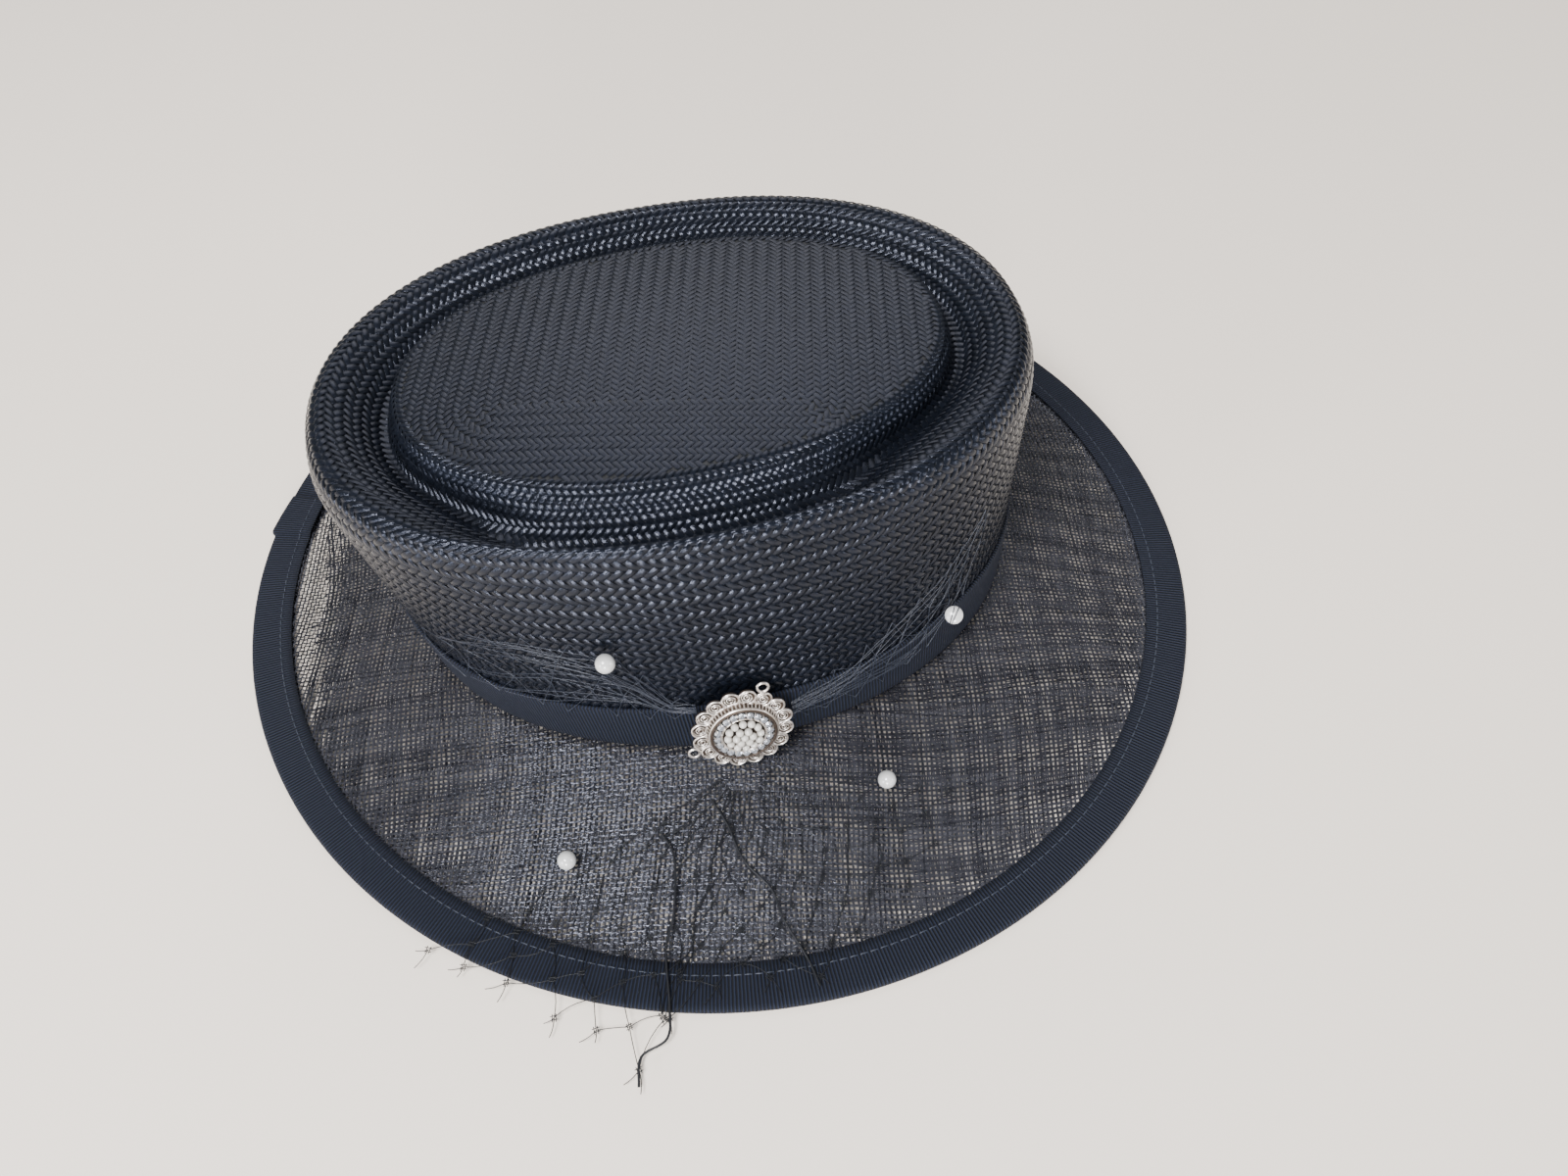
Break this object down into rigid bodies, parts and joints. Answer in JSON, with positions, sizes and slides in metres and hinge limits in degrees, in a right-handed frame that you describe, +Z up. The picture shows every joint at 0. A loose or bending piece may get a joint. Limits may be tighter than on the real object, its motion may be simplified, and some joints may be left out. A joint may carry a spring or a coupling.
{
  "type": "veiled hat",
  "caption": "Small-crowned woven hat with a grooved oval top, wide see-through brim bound in ribbon, ribbon band, coarse net veil with pearls and a round jewelled brooch.",
  "frame": {"origin": "centre of the whole box in plan, at the level of the surface that the hat rests on", "axes": "+Z up; +X along the crown's long axis; the brooch and the veil are on the -Y side"},
  "size_m": [0.3482, 0.3594, 0.1129],
  "materials": {
    "straw": "glossy dark woven straw braid",
    "brim_weave": "stiff open plain weave of fine fibre, see-through",
    "ribbon": "cross-ribbed ribbon, soft dull sheen",
    "net": "fine coarse-mesh netting thread",
    "silver": "bright silver-coloured plated metal",
    "clear_stone": "clear cut glass",
    "pearl": "lustrous imitation pearl"
  },
  "bodies": {
    "root": {"crown": "straw", "brim": "brim_weave", "brim_binding": "ribbon", "hat_band": "ribbon", "veil_fan": "net", "veil_left_wing": "net", "veil_right_wing": "net", "veil_gather": "net", "brooch_setting": "silver", "ring_stone_1": "clear_stone", "ring_stone_2": "clear_stone", "ring_stone_3": "clear_stone", "ring_stone_4": "clear_stone", "ring_stone_5": "clear_stone", "ring_stone_6": "clear_stone", "ring_stone_7": "clear_stone", "ring_stone_8": "clear_stone", "ring_stone_9": "clear_stone", "ring_stone_10": "clear_stone", "ring_stone_11": "clear_stone", "ring_stone_12": "clear_stone", "ring_stone_13": "clear_stone", "ring_stone_14": "clear_stone", "ring_stone_15": "clear_stone", "ring_stone_16": "clear_stone", "ring_stone_17": "clear_stone", "ring_stone_18": "clear_stone", "ring_stone_19": "clear_stone", "ring_stone_20": "clear_stone", "centre_bead_1": "pearl", "centre_bead_2": "pearl", "centre_bead_3": "pearl", "centre_bead_4": "pearl", "centre_bead_5": "pearl", "centre_bead_6": "pearl", "centre_bead_7": "pearl", "centre_bead_8": "pearl", "centre_bead_9": "pearl", "centre_bead_10": "pearl", "centre_bead_11": "pearl", "centre_bead_12": "pearl", "centre_bead_13": "pearl", "centre_bead_14": "pearl", "centre_bead_15": "pearl", "centre_bead_16": "pearl", "centre_bead_17": "pearl", "centre_bead_18": "pearl", "centre_bead_19": "pearl", "veil_pearl_1": "pearl", "veil_pearl_4": "pearl", "veil_pearl_2": "pearl", "veil_pearl_3": "pearl"}
  },
  "joints": []
}
